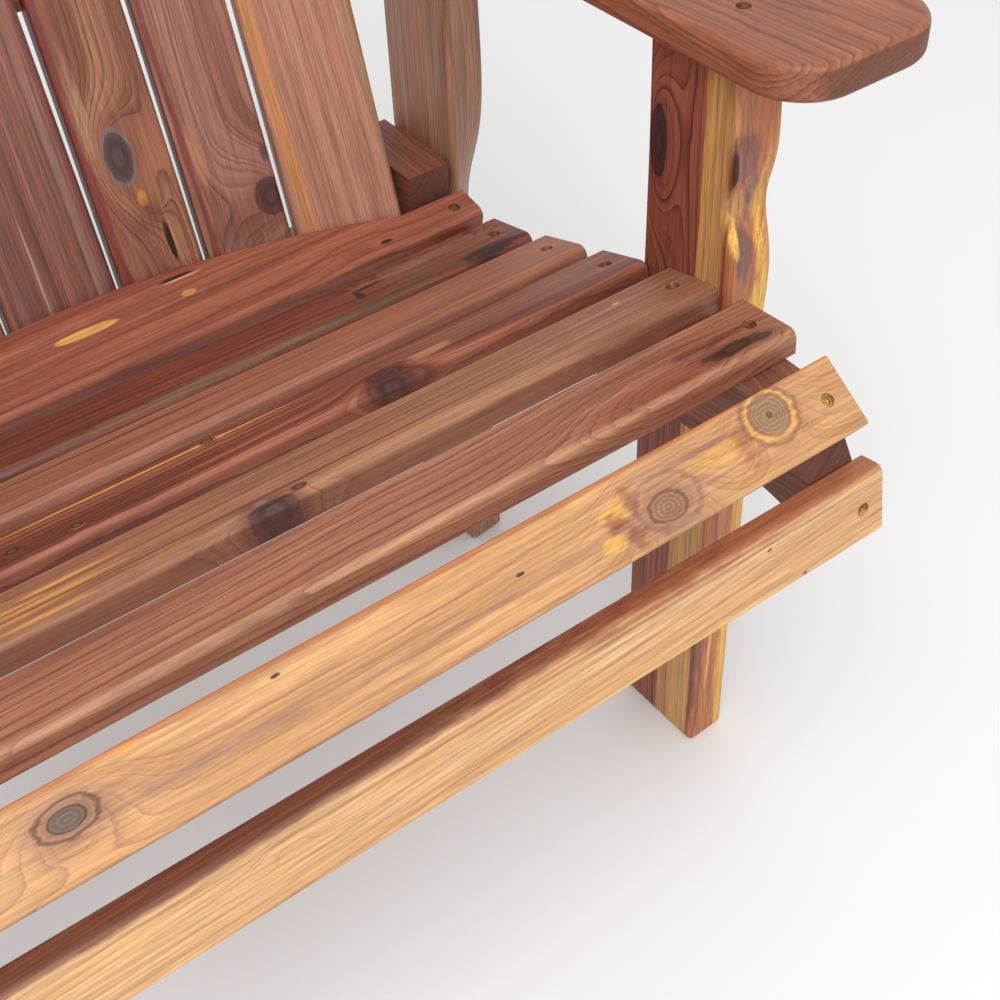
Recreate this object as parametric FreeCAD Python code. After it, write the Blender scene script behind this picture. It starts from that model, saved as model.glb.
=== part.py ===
import FreeCAD, Part
import math
import os

# Adirondack chair in solid cedar, in millimetres.
# X runs across the chair, +Y towards its back, +Z up. While the pieces are made, X = 0 is the middle,
# Y = 0 is the front of the front legs and Z = 0 is the ground. At the end every piece moves so that
# the origin is the middle of the chair's outline on the ground.

Vector = FreeCAD.Vector
ACROSS = Vector(1, 0, 0)
BACKWARD = Vector(0, 1, 0)
UP = Vector(0, 0, 1)

# Seat slats
slat_length = 650.0
slat_width = 50.5
slat_thickness = 19.0
slat_count = 8
slat_rear_rounds = [2.0, 1.2, 1.2, 1.2, 3.0, 1.5, 1.5, 6.0]
slat_front_rounds = [6.5, 7.0, 7.5, 6.5, 6.0, 7.0, 1.5, 4.0]
slat_bottom_round = 2.0
slat_end_round = 0.8
seat_slat_pitch = 71.3
nose_slat_pitch = 62.9
first_nose_slat = 6

# Seat curve along the top of the stringers, from the middle of the rear slat forwards:
# each stretch is its length and how far it turns, in degrees. A positive turn climbs.
seat_start_y = 308.6
seat_start_z = 391.1
seat_start_slope = -11.0
seat_stretches = [(88.4, 29.0), (146.3, 0.0), (133.7, -15.6), (117.3, -85.0)]

# Rear seat slat: narrow over the stringers, bowed out behind to meet the back
rear_slat_end_depth = 31.0
rear_slat_bow = 44.5
rear_slat_straight_end = 60.0

# Stringers
board_thickness = 38.0
slat_overhang = 8.0
stringer_bottom = 326.0
horn_front_y = 316.0
horn_top = 435.0
belly_front = (0.0, 397.0)
belly_middle = (170.0, 362.0)
nose_bottom_z = 387.0

# Legs: upright boards whose front is the natural edge of the log, given as (height, setback)
# along the inner and the outer corner. The setback of a back corner is negative where the log
# was wider than the board, and the saw has left it flat.
leg_depth = 89.0
leg_height = 640.0
leg_front_round = 5.0
leg_back_round = 3.0
leg_foot_round = 3.0
log_margin = 20.0
rear_leg_front_y = 318.0
front_leg_inner_edge = [(0, 2), (50, 8), (118, 6), (180, 4), (260, 1.5), (470, 2), (513, 4), (540, 12),
                        (563, 6), (588, 10), (640, 5)]
front_leg_outer_edge = [(0, 4), (50, 4), (122, 4), (235, 2), (300, 2.5), (450, 1.5), (498, 2.5), (534, 9.5),
                        (568, 4), (590, 2.5), (640, 7)]
front_leg_back_edge = [(0, -4), (440, -4), (480, -3), (503, 0), (511, 3), (528, 6), (545, 5), (575, 3),
                       (600, 0), (640, -4)]
rear_leg_inner_edge = [(0, 4), (90, 1), (210, 5), (330, 2), (450, 0.5), (560, 4), (640, 2)]
rear_leg_outer_edge = [(0, 9), (110, 14), (240, 24), (340, 38), (385, 35), (440, 16), (520, 8), (640, 12)]
sawn_back_edge = [(0, -4), (640, -4)]

# Packers that fill the slats' overhang between each leg and its stringer: (front y, back y, bottom, top)
front_packer = (10.0, 82.0, 400.0, 438.0)
rear_packer = (334.0, 402.0, 374.0, 428.0)

# Back
recline = 18.4
back_foot_y = 365.0
back_foot_z = 415.0
back_curve_radius = 870.0
back_slat_thickness = 19.0
back_slat_spans = [(-43.0, 43.0), (46.9, 113.6), (116.8, 185.3), (187.5, 273.5)]
back_slat_bottom = -84.0
back_top = 696.0
back_top_radius = 470.0
outer_slat_lean = 1.4
outer_slat_x = 231.0
back_slat_round = 5.0

# Rails across the back, placed by their distance up the slope of the back
lower_rail_bottom = -75.0
lower_rail_depth = 62.0
rail_screw_depths = (-6.0, 34.0)
batten_bottom = 500.0
batten_thickness = 25.0
batten_depth = 30.0
batten_half_length = 292.0
housing_depth = 3.5
armrest_rail_back_y = 500.0
armrest_rail_half_length = 363.0

# Armrests
armrest_thickness = 25.0
armrest_inner_x = 305.0
armrest_outer_x = 435.0
armrest_front_y = -60.0
armrest_back_y = 504.0
armrest_tail_x = 398.0
armrest_swell = (150.0, 436.0)
armrest_taper = (330.0, 423.0)
armrest_front_corner = 42.0
armrest_back_corner = 18.0
armrest_round = 6.0

# Screws: a sunk countersunk head at the bottom of a counterbore
counterbore_radius = 4.8
counterbore_depth = 3.2
screw_head_radius = 4.0
screw_head_height = 2.6
screw_shank_radius = 2.1
screw_tip_length = 6.0
screw_slot_width = 1.0
screw_slot_depth = 1.2
slot_reach = 0.65
seat_screw_length = 40.0
back_screw_length = 38.0
armrest_screw_length = 60.0
front_armrest_screws = (-16.0, 18.0)
rear_armrest_screws = (-12.0, 24.0)
rail_screw_length = 70.0
slat_screw_inset = 18.0
back_screw_edge = 16.0
wide_back_slat = 60.0

# Carriage bolts through leg, packer and stringer: (y, z) of each
bolt_radius = 4.0
bolt_head_radius = 9.5
bolt_head_height = 4.5
bolt_end = 2.0
washer_radius = 9.0
washer_thickness = 1.6
nut_across_flats = 13.0
nut_thickness = 6.5
front_bolts = [(24.0, 414.0), (64.0, 426.0)]
rear_bolts = [(366.0, 414.0), (388.0, 386.0)]

# Room by which a cutter reaches past what it cuts, and how near two lengths are to count as equal
cutter_room = 10.0
tiny = 0.01

# Worked out from the dimensions above
slat_end_x = slat_length / 2
leg_inner_x = slat_end_x
leg_outer_x = leg_inner_x + board_thickness
stringer_outer_x = slat_end_x - slat_overhang
stringer_inner_x = stringer_outer_x - board_thickness
back_frame = FreeCAD.Placement(Vector(0, back_foot_y, back_foot_z), FreeCAD.Rotation(ACROSS, -recline))
rail_curve_radius = back_curve_radius + back_slat_thickness
fan_per_mm = math.tan(math.radians(outer_slat_lean)) / outer_slat_x


# ---- Shared shapes ----

def wire_through(points):
    """Closed outline of straight edges."""
    return Part.makePolygon(points + [points[0]])


def spline_edge(points):
    """Smooth edge through a list of points."""
    curve = Part.BSplineCurve()
    curve.interpolate(points)
    return curve.toShape()


def rounded_slat(rear_round, front_round):
    """Slat along X, centred across, lying on Z = 0, with rounded long edges and eased ends."""
    half = slat_width / 2
    board = Part.makeBox(slat_length, slat_width, slat_thickness, Vector(-slat_end_x, -half, 0))
    corners = [
        (half, slat_thickness, rear_round),
        (-half, slat_thickness, front_round),
        (half, 0, slat_bottom_round),
        (-half, 0, slat_bottom_round),
    ]
    for y, z, radius in corners:
        middle = Vector(0, y, z)
        edges = [edge for edge in board.Edges if edge.CenterOfMass.distanceToPoint(middle) < tiny]
        board = board.makeFillet(radius, edges)
    ends = [edge for edge in board.Edges if abs(edge.CenterOfMass.x) > slat_end_x - tiny]
    return board.makeFillet(slat_end_round, ends)


def mirrored(shape):
    """The same piece on the chair's other side."""
    return shape.mirror(Vector(0, 0, 0), ACROSS)


def box_between(low, high):
    """Box from its lowest to its highest corner."""
    size = high - low
    return Part.makeBox(size.x, size.y, size.z, low)


def placed(shape, placement):
    """Copy of a shape moved to a placement."""
    copy = shape.copy()
    copy.Placement = placement.multiply(copy.Placement)
    return copy


# ---- Fasteners ----

def revolved(profile):
    """Solid turned about Z from (radius, height) points that start and end on the axis."""
    points = [Vector(radius, 0, height) for radius, height in profile]
    return Part.Face(wire_through(points)).revolve(Vector(0, 0, 0), UP, 360)


def screw_body(length):
    """Countersunk wood screw that points down, the top of its head at Z = 0."""
    return revolved([
        (0, 0),
        (screw_head_radius, 0),
        (screw_shank_radius, -screw_head_height),
        (screw_shank_radius, -length + screw_tip_length),
        (0, -length),
    ])


def screw(length):
    """Wood screw with a cross slot in its head."""
    slot_length = slot_reach * 2 * screw_head_radius
    low = Vector(-slot_length / 2, -screw_slot_width / 2, -screw_slot_depth)
    slot = box_between(low, Vector(slot_length / 2, screw_slot_width / 2, screw_slot_depth))
    turned_slot = slot.copy()
    turned_slot.rotate(Vector(0, 0, 0), UP, 90)
    return screw_body(length).cut(slot.fuse(turned_slot))


def counterbore():
    """Cutter for the open bore above a screw head, from Z = 0 upwards."""
    return Part.makeCylinder(counterbore_radius, counterbore_depth + cutter_room, Vector(0, 0, 0), UP)


def screw_placement(surface_point, outward):
    """Where a sunk screw sits: its head lies a counterbore's depth below the surface."""
    direction = Vector(outward)
    direction.normalize()
    return FreeCAD.Placement(surface_point - direction * counterbore_depth, FreeCAD.Rotation(UP, direction))


class ScrewSet:
    """Screws of one kind: it keeps the solids, and cuts their holes."""

    def __init__(self, length):
        self.length = length
        self.places = []

    def add(self, surface_point, outward):
        self.places.append(screw_placement(surface_point, outward))

    def solids(self):
        return Part.makeCompound([placed(screw(self.length), place) for place in self.places])

    def drill(self, board, has_heads):
        """Cut this set's holes from a board, with counterbores where the heads are sunk in it."""
        reach = board.BoundBox
        reach.enlarge(tiny)
        for place in self.places:
            body = placed(screw_body(self.length), place)
            if not reach.intersect(body.BoundBox):
                continue
            board = board.cut(body)
            if has_heads:
                board = board.cut(placed(counterbore(), place))
        return board


def bolt_cylinder(radius, start_x, end_x, y, z):
    """Cylinder along X."""
    return Part.makeCylinder(radius, end_x - start_x, Vector(start_x, y, z), ACROSS)


def carriage_bolt(y, z):
    """Bolt with a domed head on the outside of the leg."""
    shank_start = stringer_inner_x - washer_thickness - nut_thickness - bolt_end
    shank = bolt_cylinder(bolt_radius, shank_start, leg_outer_x, y, z)
    dome_radius = (bolt_head_radius ** 2 + bolt_head_height ** 2) / (2 * bolt_head_height)
    ball = Part.makeSphere(dome_radius, Vector(leg_outer_x + bolt_head_height - dome_radius, y, z))
    head = ball.common(bolt_cylinder(bolt_head_radius, leg_outer_x, leg_outer_x + bolt_head_height, y, z))
    return shank.fuse(head).removeSplitter()


def bolt_washer(y, z):
    """Flat washer on the inside of the stringer."""
    start = stringer_inner_x - washer_thickness
    disc = bolt_cylinder(washer_radius, start, stringer_inner_x, y, z)
    return disc.cut(bolt_cylinder(bolt_radius, start, stringer_inner_x, y, z))


def bolt_nut(y, z):
    """Hexagon nut on the washer."""
    start = stringer_inner_x - washer_thickness - nut_thickness
    corner_radius = nut_across_flats / math.sqrt(3)
    corners = []
    for corner in range(6):
        angle = math.radians(60 * corner)
        spoke = Vector(0, math.cos(angle), math.sin(angle))
        corners.append(Vector(start, y, z) + spoke * corner_radius)
    hexagon = Part.Face(wire_through(corners)).extrude(ACROSS * nut_thickness)
    return hexagon.cut(bolt_cylinder(bolt_radius, start, start + nut_thickness, y, z))


def drill_for_bolts(board):
    """Cut the carriage bolt holes from a board on the right side."""
    for y, z in front_bolts + rear_bolts:
        bore = bolt_cylinder(bolt_radius, stringer_inner_x - cutter_room, leg_outer_x + cutter_room, y, z)
        board = board.cut(bore)
    return board


# ---- Seat ----

def seat_point(distance):
    """Height and slope of the seat curve at a distance forward along it: y, z, slope in radians."""
    y, z, slope = seat_start_y, seat_start_z, math.radians(seat_start_slope)
    for length, turn in seat_stretches:
        step = min(distance, length)
        bend = math.radians(turn) * step / length
        chord = step
        if bend:
            chord = step * math.sin(bend / 2) / (bend / 2)
        y -= chord * math.cos(slope + bend / 2)
        z += chord * math.sin(slope + bend / 2)
        slope += bend
        distance -= step
    return y, z, slope


def slat_distance(index):
    """Distance of a slat's middle along the seat curve."""
    seat_steps = min(index, first_nose_slat - 1)
    return seat_steps * seat_slat_pitch + (index - seat_steps) * nose_slat_pitch


def slat_frame(index):
    """Frame of a seat slat: origin under its middle, Y towards its rear edge, Z out of its top."""
    y, z, slope = seat_point(slat_distance(index))
    return FreeCAD.Placement(Vector(0, y, z), FreeCAD.Rotation(ACROSS, -math.degrees(slope)))


def rear_slat_blank():
    """Rear slat: straight at both ends, its back edge bowed out between them."""
    half = slat_width / 2
    end_back = rear_slat_end_depth - half
    bow_x = slat_end_x - rear_slat_straight_end
    crown = Vector(0, end_back + rear_slat_bow, 0)
    bow = Part.Arc(Vector(-bow_x, end_back, 0), crown, Vector(bow_x, end_back, 0))
    corners = [
        Vector(bow_x, end_back, 0),
        Vector(slat_end_x, end_back, 0),
        Vector(slat_end_x, -half, 0),
        Vector(-slat_end_x, -half, 0),
        Vector(-slat_end_x, end_back, 0),
        Vector(-bow_x, end_back, 0),
    ]
    outline = Part.Wire(Part.__sortEdges__(Part.makePolygon(corners).Edges + [bow.toShape()]))
    slat = Part.Face(outline).extrude(UP * slat_thickness)
    front_top = [edge for edge in slat.Edges
                 if edge.BoundBox.YMax < tiny - half and edge.BoundBox.ZMin > tiny]
    slat = slat.makeFillet(slat_front_rounds[0], front_top)
    back_top = [edge for edge in slat.Edges
                if edge.BoundBox.ZMin > slat_thickness - tiny and edge.BoundBox.YMin > end_back - tiny
                and edge.BoundBox.XLength > tiny]
    return slat.makeFillet(slat_rear_rounds[0], back_top)


def seat_slat(index, screws):
    """One seat slat in place. Its screws are added to the set and their holes are cut."""
    frame = slat_frame(index)
    screw_y = 0
    if index == 0:
        blank = rear_slat_blank()
        screw_y = (rear_slat_end_depth - slat_width) / 2
    else:
        blank = rounded_slat(slat_rear_rounds[index], slat_front_rounds[index])
    for side in (-1, 1):
        screw_point = Vector(side * (slat_end_x - slat_screw_inset), screw_y, slat_thickness)
        screws.add(frame.multVec(screw_point), frame.Rotation.multVec(UP))
    return screws.drill(placed(blank, frame), True)


def slat_seat_points(index):
    """The flat that a slat rests on: its rear and front end, as (y, z)."""
    frame = slat_frame(index)
    rear = slat_width / 2
    if index == 0:
        rear = rear_slat_end_depth - slat_width / 2
    front = -slat_width / 2
    rear_point = frame.multVec(Vector(0, rear, 0))
    front_point = frame.multVec(Vector(0, front, 0))
    return rear_point, front_point


def stringer():
    """Right stringer: one wide board, its top cut to the seat curve, with a raised horn behind the seat."""
    rear_leg_back = rear_leg_front_y + leg_depth
    outline = [Vector(0, rear_leg_back, horn_top), Vector(0, horn_front_y, horn_top)]
    first_rear, _ = slat_seat_points(0)
    outline.append(Vector(0, horn_front_y, first_rear.z))
    for index in range(slat_count):
        outline += slat_seat_points(index)
    toe = outline.pop()
    heel = outline[-1]
    share = (heel.z - nose_bottom_z) / (heel.z - toe.z)
    nose_bottom = heel + (toe - heel) * share
    outline.append(nose_bottom)
    rear_bottom = Vector(0, rear_leg_back, stringer_bottom)
    belly = spline_edge([nose_bottom, Vector(0, *belly_front), Vector(0, *belly_middle),
                         Vector(0, horn_front_y, stringer_bottom)])
    edges = Part.makePolygon(outline).Edges + [belly]
    edges += Part.makePolygon([Vector(0, horn_front_y, stringer_bottom), rear_bottom, outline[0]]).Edges
    face = Part.Face(Part.Wire(Part.__sortEdges__(edges)))
    face.translate(ACROSS * stringer_inner_x)
    return face.extrude(ACROSS * board_thickness)


# ---- Legs, packers and armrests ----

def log_edge(x, face_y, inward, knots):
    """Uneven upright edge of the log at one side of a leg, carried on past both of the leg's ends."""
    heights = [-log_margin] + [height for height, _ in knots] + [leg_height + log_margin]
    setbacks = [knots[0][1]] + [setback for _, setback in knots] + [knots[-1][1]]
    points = [Vector(x, face_y + inward * setback, height) for height, setback in zip(heights, setbacks)]
    return spline_edge(points)


def log_outline(x, front_y, front_knots, back_knots):
    """Outline of the log in the plane of one side of a leg."""
    front = log_edge(x, front_y, 1, front_knots)
    back = log_edge(x, front_y + leg_depth, -1, back_knots)
    top = Part.makeLine(front.Vertexes[-1].Point, back.Vertexes[-1].Point)
    bottom = Part.makeLine(front.Vertexes[0].Point, back.Vertexes[0].Point)
    return Part.Wire(Part.__sortEdges__([front, top, back, bottom]))


def natural_edge_leg(front_y, inner_edge, outer_edge, inner_back_edge):
    """Right leg: its front face runs between two uneven corners, and its other faces are sawn flat."""
    back_y = front_y + leg_depth
    inner_outline = log_outline(leg_inner_x, front_y, inner_edge, inner_back_edge)
    outer_outline = log_outline(leg_outer_x, front_y, outer_edge, sawn_back_edge)
    log = Part.makeLoft([inner_outline, outer_outline], True, True)
    sawn = box_between(Vector(leg_inner_x, front_y - log_margin, 0), Vector(leg_outer_x, back_y, leg_height))
    back_corners = [edge for edge in sawn.Edges if is_upright(edge) and edge.CenterOfMass.y > front_y]
    leg = sawn.makeFillet(leg_back_round, back_corners).common(log)
    middle_y = front_y + leg_depth / 2
    front_corners = [edge for edge in leg.Edges if is_upright(edge) and edge.CenterOfMass.y < middle_y]
    leg = leg.makeFillet(leg_front_round, front_corners)
    foot_rim = [edge for edge in leg.Edges if edge.BoundBox.ZMax < tiny]
    return leg.makeFillet(leg_foot_round, foot_rim)


def is_upright(edge):
    """True for an edge that runs the whole height of a leg."""
    return edge.BoundBox.ZLength > leg_height - tiny


def packer(extent):
    """Thin right-hand packer between stringer and leg."""
    front, back, bottom, top = extent
    return box_between(Vector(stringer_outer_x, front, bottom), Vector(leg_inner_x, back, top))


def armrest():
    """Right armrest: a flat board, rounded in front, that narrows along its outer edge to the tail."""
    inner_front = Vector(armrest_inner_x, armrest_front_y, leg_height)
    outer_front = Vector(armrest_outer_x, armrest_front_y, leg_height)
    outer_tail = Vector(armrest_tail_x, armrest_back_y, leg_height)
    bends = [Vector(x, armrest_front_y + distance, leg_height)
             for distance, x in (armrest_swell, armrest_taper)]
    outer_edge = spline_edge([outer_front] + bends + [outer_tail])
    straight = Part.makePolygon([outer_tail, Vector(armrest_inner_x, armrest_back_y, leg_height), inner_front,
                                 outer_front])
    outline = Part.Wire(Part.__sortEdges__([outer_edge] + straight.Edges))
    board = Part.Face(outline).extrude(UP * armrest_thickness)
    for corner_y, radius in ((armrest_front_y, armrest_front_corner), (armrest_back_y, armrest_back_corner)):
        corners = [edge for edge in board.Edges
                   if edge.BoundBox.ZLength > armrest_thickness - tiny
                   and abs(edge.CenterOfMass.y - corner_y) < tiny]
        board = board.makeFillet(radius, corners)
    rims = [edge for edge in board.Edges if edge.BoundBox.ZLength < tiny]
    return board.makeFillet(armrest_round, rims)


# ---- Back, in a frame whose Z runs up the slope and whose Y points out of the back ----

def forward_bow(x):
    """Depth of the curved back at a distance from its middle: negative, since its sides stand forward."""
    return -x ** 2 / (2 * back_curve_radius)


def back_slat_frame(middle):
    """Frame of a back slat in the back's frame: faces along the curve and leans out with the fan."""
    turn = math.degrees(math.asin(middle / back_curve_radius))
    lean = math.degrees(math.atan(middle * fan_per_mm))
    rotation = FreeCAD.Rotation(BACKWARD, lean).multiply(FreeCAD.Rotation(UP, -turn))
    return FreeCAD.Placement(Vector(middle, forward_bow(middle), 0), rotation)


def back_slat(span):
    """Back slat in the back's frame, its top cut to the arch of the whole back."""
    left, right = span
    middle = (left + right) / 2
    half = (right - left) / 2
    low = Vector(-half, 0, back_slat_bottom)
    blank = box_between(low, Vector(half, back_slat_thickness, back_top + cutter_room))
    front_edges = [edge for edge in blank.Edges
                   if edge.BoundBox.ZLength > back_top and edge.CenterOfMass.y < tiny]
    slat = placed(blank.makeFillet(back_slat_round, front_edges), back_slat_frame(middle))
    arch_height = back_top - back_top_radius
    reach = back_top_radius / 2
    arch = Part.makeCylinder(back_top_radius, 2 * reach, Vector(0, -reach, arch_height), BACKWARD)
    skirt_corner = Vector(-back_top_radius, -reach, back_slat_bottom - cutter_room)
    skirt = box_between(skirt_corner, Vector(back_top_radius, reach, arch_height))
    return slat.common(arch.fuse(skirt))


def curved_rail_outline(height, half_length, back_y):
    """Outline of a curved rail at a height up the back: straight behind, and in front it follows the slats,
    which are let into it by the housing depth."""
    spread = 1 + fan_per_mm * height
    radius = rail_curve_radius * spread ** 2
    middle_depth = back_slat_thickness - housing_depth
    end_depth = middle_depth - half_length ** 2 / (2 * radius)
    front = Part.Arc(Vector(-half_length, end_depth, height), Vector(0, middle_depth, height),
                     Vector(half_length, end_depth, height))
    rest = Part.makePolygon([
        Vector(half_length, end_depth, height),
        Vector(half_length, back_y, height),
        Vector(-half_length, back_y, height),
        Vector(-half_length, end_depth, height),
    ])
    return Part.Face(Part.Wire(Part.__sortEdges__([front.toShape()] + rest.Edges)))


def rail_across_slats(height, thickness, half_length, depth):
    """Rail square to the slats, in place on the chair."""
    outline = curved_rail_outline(height, half_length, back_slat_thickness + depth)
    return placed(outline.extrude(UP * thickness), back_frame)


def armrest_rail():
    """Level rail under the armrests, its front edge bevelled to the slope of the back."""
    bottom = leg_height - board_thickness
    height = (bottom - back_foot_z) / math.cos(math.radians(recline)) - board_thickness
    outline = curved_rail_outline(height, armrest_rail_half_length, armrest_rail_back_y)
    sloped = placed(outline.extrude(UP * 3 * board_thickness), back_frame)
    leg_back = rear_leg_front_y + leg_depth
    level = box_between(Vector(-armrest_rail_half_length, rear_leg_front_y, bottom),
                        Vector(armrest_rail_half_length, armrest_rail_back_y, leg_height))
    rail = sloped.common(level)
    leg_room = box_between(Vector(leg_inner_x - cutter_room, rear_leg_front_y - cutter_room, bottom),
                           Vector(leg_outer_x + cutter_room, leg_back, leg_height))
    return rail.cut(leg_room).cut(mirrored(leg_room))


def back_screw_points(span, heights):
    """Screws through a back slat: two across a wide slat, one through a narrow one."""
    left, right = span
    middle = (left + right) / 2
    half = (right - left) / 2
    offsets = [0]
    if right - left > wide_back_slat:
        offsets = [back_screw_edge - half, half - back_screw_edge]
    frame = back_frame.multiply(back_slat_frame(middle))
    outward = frame.Rotation.multVec(-BACKWARD)
    return [(frame.multVec(Vector(offset, 0, height)), outward) for height in heights for offset in offsets]


# ---- Assembly ----

def build_seat(pieces):
    screws = ScrewSet(seat_screw_length)
    for index in range(slat_count):
        pieces["seat_slat_%d" % (index + 1)] = seat_slat(index, screws)
    pieces["seat_slat_screws"] = screws.solids()
    right = screws.drill(drill_for_bolts(stringer()), False)
    pieces["stringer_right"] = right
    pieces["stringer_left"] = mirrored(right)


def build_legs(pieces):
    sides = {
        "front_leg": natural_edge_leg(0, front_leg_inner_edge, front_leg_outer_edge, front_leg_back_edge),
        "rear_leg": natural_edge_leg(rear_leg_front_y, rear_leg_inner_edge, rear_leg_outer_edge,
                                     sawn_back_edge),
        "front_packer": packer(front_packer),
        "rear_packer": packer(rear_packer),
    }
    for name, shape in sides.items():
        right = drill_for_bolts(shape)
        pieces[name + "_right"] = right
        pieces[name + "_left"] = mirrored(right)


def build_bolts(pieces):
    kinds = {"leg_bolts": carriage_bolt, "leg_bolt_washers": bolt_washer, "leg_bolt_nuts": bolt_nut}
    for name, make in kinds.items():
        right = [make(y, z) for y, z in front_bolts + rear_bolts]
        pieces[name] = Part.makeCompound(right + [mirrored(shape) for shape in right])


def build_back(pieces):
    rails = {
        "lower_back_rail": rail_across_slats(lower_rail_bottom, board_thickness, stringer_inner_x,
                                             lower_rail_depth),
        "armrest_rail": armrest_rail(),
        "upper_back_batten": rail_across_slats(batten_bottom, batten_thickness, batten_half_length,
                                               batten_depth),
    }
    armrest_rail_height = (leg_height - board_thickness / 2 - back_foot_z) / math.cos(math.radians(recline))
    heights = [lower_rail_bottom + board_thickness / 2, armrest_rail_height,
               batten_bottom + batten_thickness / 2]
    screws = ScrewSet(back_screw_length)
    right_spans = back_slat_spans[1:]
    left_spans = [(-right, -left) for left, right in reversed(right_spans)]
    for number, span in enumerate(left_spans + back_slat_spans, start=1):
        slat = placed(back_slat(span), back_frame)
        for name in rails:
            rails[name] = rails[name].cut(slat)
        for point, outward in back_screw_points(span, heights):
            screws.add(point, outward)
        pieces["back_slat_%d" % number] = screws.drill(slat, True)
    pieces["back_slat_screws"] = screws.solids()
    for name, rail in rails.items():
        pieces[name] = screws.drill(rail, False)


def build_rail_screws(pieces):
    """Screws through the stringers into the ends of the lower back rail."""
    screws = ScrewSet(rail_screw_length)
    height = lower_rail_bottom + board_thickness / 4
    for depth in rail_screw_depths:
        point = back_frame.multVec(Vector(0, depth, height))
        for side in (-1, 1):
            screws.add(Vector(side * stringer_outer_x, point.y, point.z), ACROSS * side)
    pieces["rail_end_screws"] = screws.solids()
    pieces["lower_back_rail"] = screws.drill(pieces["lower_back_rail"], False)
    for name in ("stringer_right", "stringer_left"):
        pieces[name] = screws.drill(pieces[name], True)


def build_armrests(pieces):
    screws = ScrewSet(armrest_screw_length)
    leg_middle = (leg_inner_x + leg_outer_x) / 2
    rear_leg_middle = rear_leg_front_y + leg_depth / 2
    rail_screw_y = (rear_leg_front_y + leg_depth + armrest_rail_back_y) / 2
    screw_ys = [leg_depth / 2 + offset for offset in front_armrest_screws]
    screw_ys += [rear_leg_middle + offset for offset in rear_armrest_screws]
    for y in screw_ys + [rail_screw_y]:
        for side in (-1, 1):
            screws.add(Vector(side * leg_middle, y, leg_height + armrest_thickness), UP)
    right = armrest()
    for name, shape in (("armrest_right", right), ("armrest_left", mirrored(right))):
        pieces[name] = screws.drill(shape, True)
    pieces["armrest_screws"] = screws.solids()
    for name in ("front_leg_right", "front_leg_left", "rear_leg_right", "rear_leg_left", "armrest_rail"):
        pieces[name] = screws.drill(pieces[name], False)


def build_chair():
    pieces = {}
    build_seat(pieces)
    build_legs(pieces)
    build_bolts(pieces)
    build_back(pieces)
    build_rail_screws(pieces)
    build_armrests(pieces)
    return pieces


def export(pieces):
    """Write one STEP per piece, with the origin at the middle of the outline on the ground."""
    bounds = Part.makeCompound(list(pieces.values())).optimalBoundingBox(False)
    shift = Vector(-bounds.Center.x, -bounds.Center.y, -bounds.ZMin)
    os.makedirs("parts", exist_ok=True)
    for name, shape in pieces.items():
        shape.translate(shift)
        shape.exportStep("parts/%s.step" % name)
        if not shape.isValid():
            print("not valid:", name)
    print("size", bounds.XLength, bounds.YLength, bounds.ZLength, "shift", shift.y)


export(build_chair())
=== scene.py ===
import math

import bpy
import numpy as np
from mathutils import Matrix, Vector


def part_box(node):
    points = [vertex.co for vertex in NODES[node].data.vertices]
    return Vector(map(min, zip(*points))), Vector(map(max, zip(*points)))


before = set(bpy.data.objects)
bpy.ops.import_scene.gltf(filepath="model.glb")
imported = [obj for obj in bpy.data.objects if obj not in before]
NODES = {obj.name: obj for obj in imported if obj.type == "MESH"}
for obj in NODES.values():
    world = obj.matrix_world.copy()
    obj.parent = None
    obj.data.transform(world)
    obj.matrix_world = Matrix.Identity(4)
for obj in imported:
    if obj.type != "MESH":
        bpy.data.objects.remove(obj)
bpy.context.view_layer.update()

# Adirondack chair in oiled cedar. Metres, +Z up, the chair's front faces -Y.

MM = 0.001

# ---- Wood: colours as they look on screen, and its finish ----

OIL = (1.08, 1.02, 0.94)
YELLOW = "#d29a50"
SAWN_END = "#4d2b24"
# Painted shade on the thin sides of a board
NARROW_SIDE_SHADE = "#5c3026"

END_STRENGTH = 0.6
END_FACING = (0.75, 0.95)
SIDE_FACING = (0.75, 0.98)

ROUGHNESS = 0.5
ROUGHNESS_SPREAD = 0.24
SAWN_END_ROUGHER = 0.15
SPECULAR_LEVEL = 0.4
COAT_WEIGHT = 0.07
COAT_ROUGHNESS = 0.4
GRAIN_BUMP = 0.4
GRAIN_DEPTH = 0.0003
LATE_HEIGHT = 0.7

# ---- Grain: noise cells per metre along, across and out of a board ----

NOISE_MIDDLE = 0.5
NOISE_RANGE = (0.3, 0.7)
FIBRE_SHADES = (0.84, 1.13)
STREAK_SHADES = (0.76, 1.17)
SEED_SHIFT = (1.7, 0.9, 1.3)
SLOW_WAVES = (5.0, 22.0, 22.0)
FINE_WAVES = (45.0, 190.0, 190.0)
FIBRE_CELLS = (38.0, 900.0, 900.0)
STREAK_CELLS = (9.0, 330.0, 330.0)
WOBBLE = 0.9

# ---- Growth rings, counted in turns ----

RING_JITTER = 0.5
UNEVEN_RATE = 0.37
UNEVEN_WIDTH = 2.2
WEIGHT_RATE = 0.6
WEIGHT_START = 3.0
BAND_RATE = 0.33
BAND_STRETCH = 2.5
BAND_EDGE = (0.36, 0.64)
STREAK_RATE = 2.7
STREAK_EDGE = (0.56, 0.72)
STREAK_STRENGTH = 0.35
LATE_PROFILE = [(0.0, 0.0), (0.5, 0.12), (0.82, 0.6), (0.93, 1.0), (1.0, 0.0)]
LATE_WEIGHTS = (0.3, 0.65, 0.5, 1.0)
LATE_IN_SAPWOOD = 0.5
LATE_IN_STAIN = 0.4

# ---- Knots: half their length through a board, and where each part ends as a share of the radius ----

KNOT_DEPTH = 0.3
CORE_EDGE = (0.86, 1.0)
RIM_EDGE = (0.02, 0.16)
HALO_EDGE = (0.9, 2.1)


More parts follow.
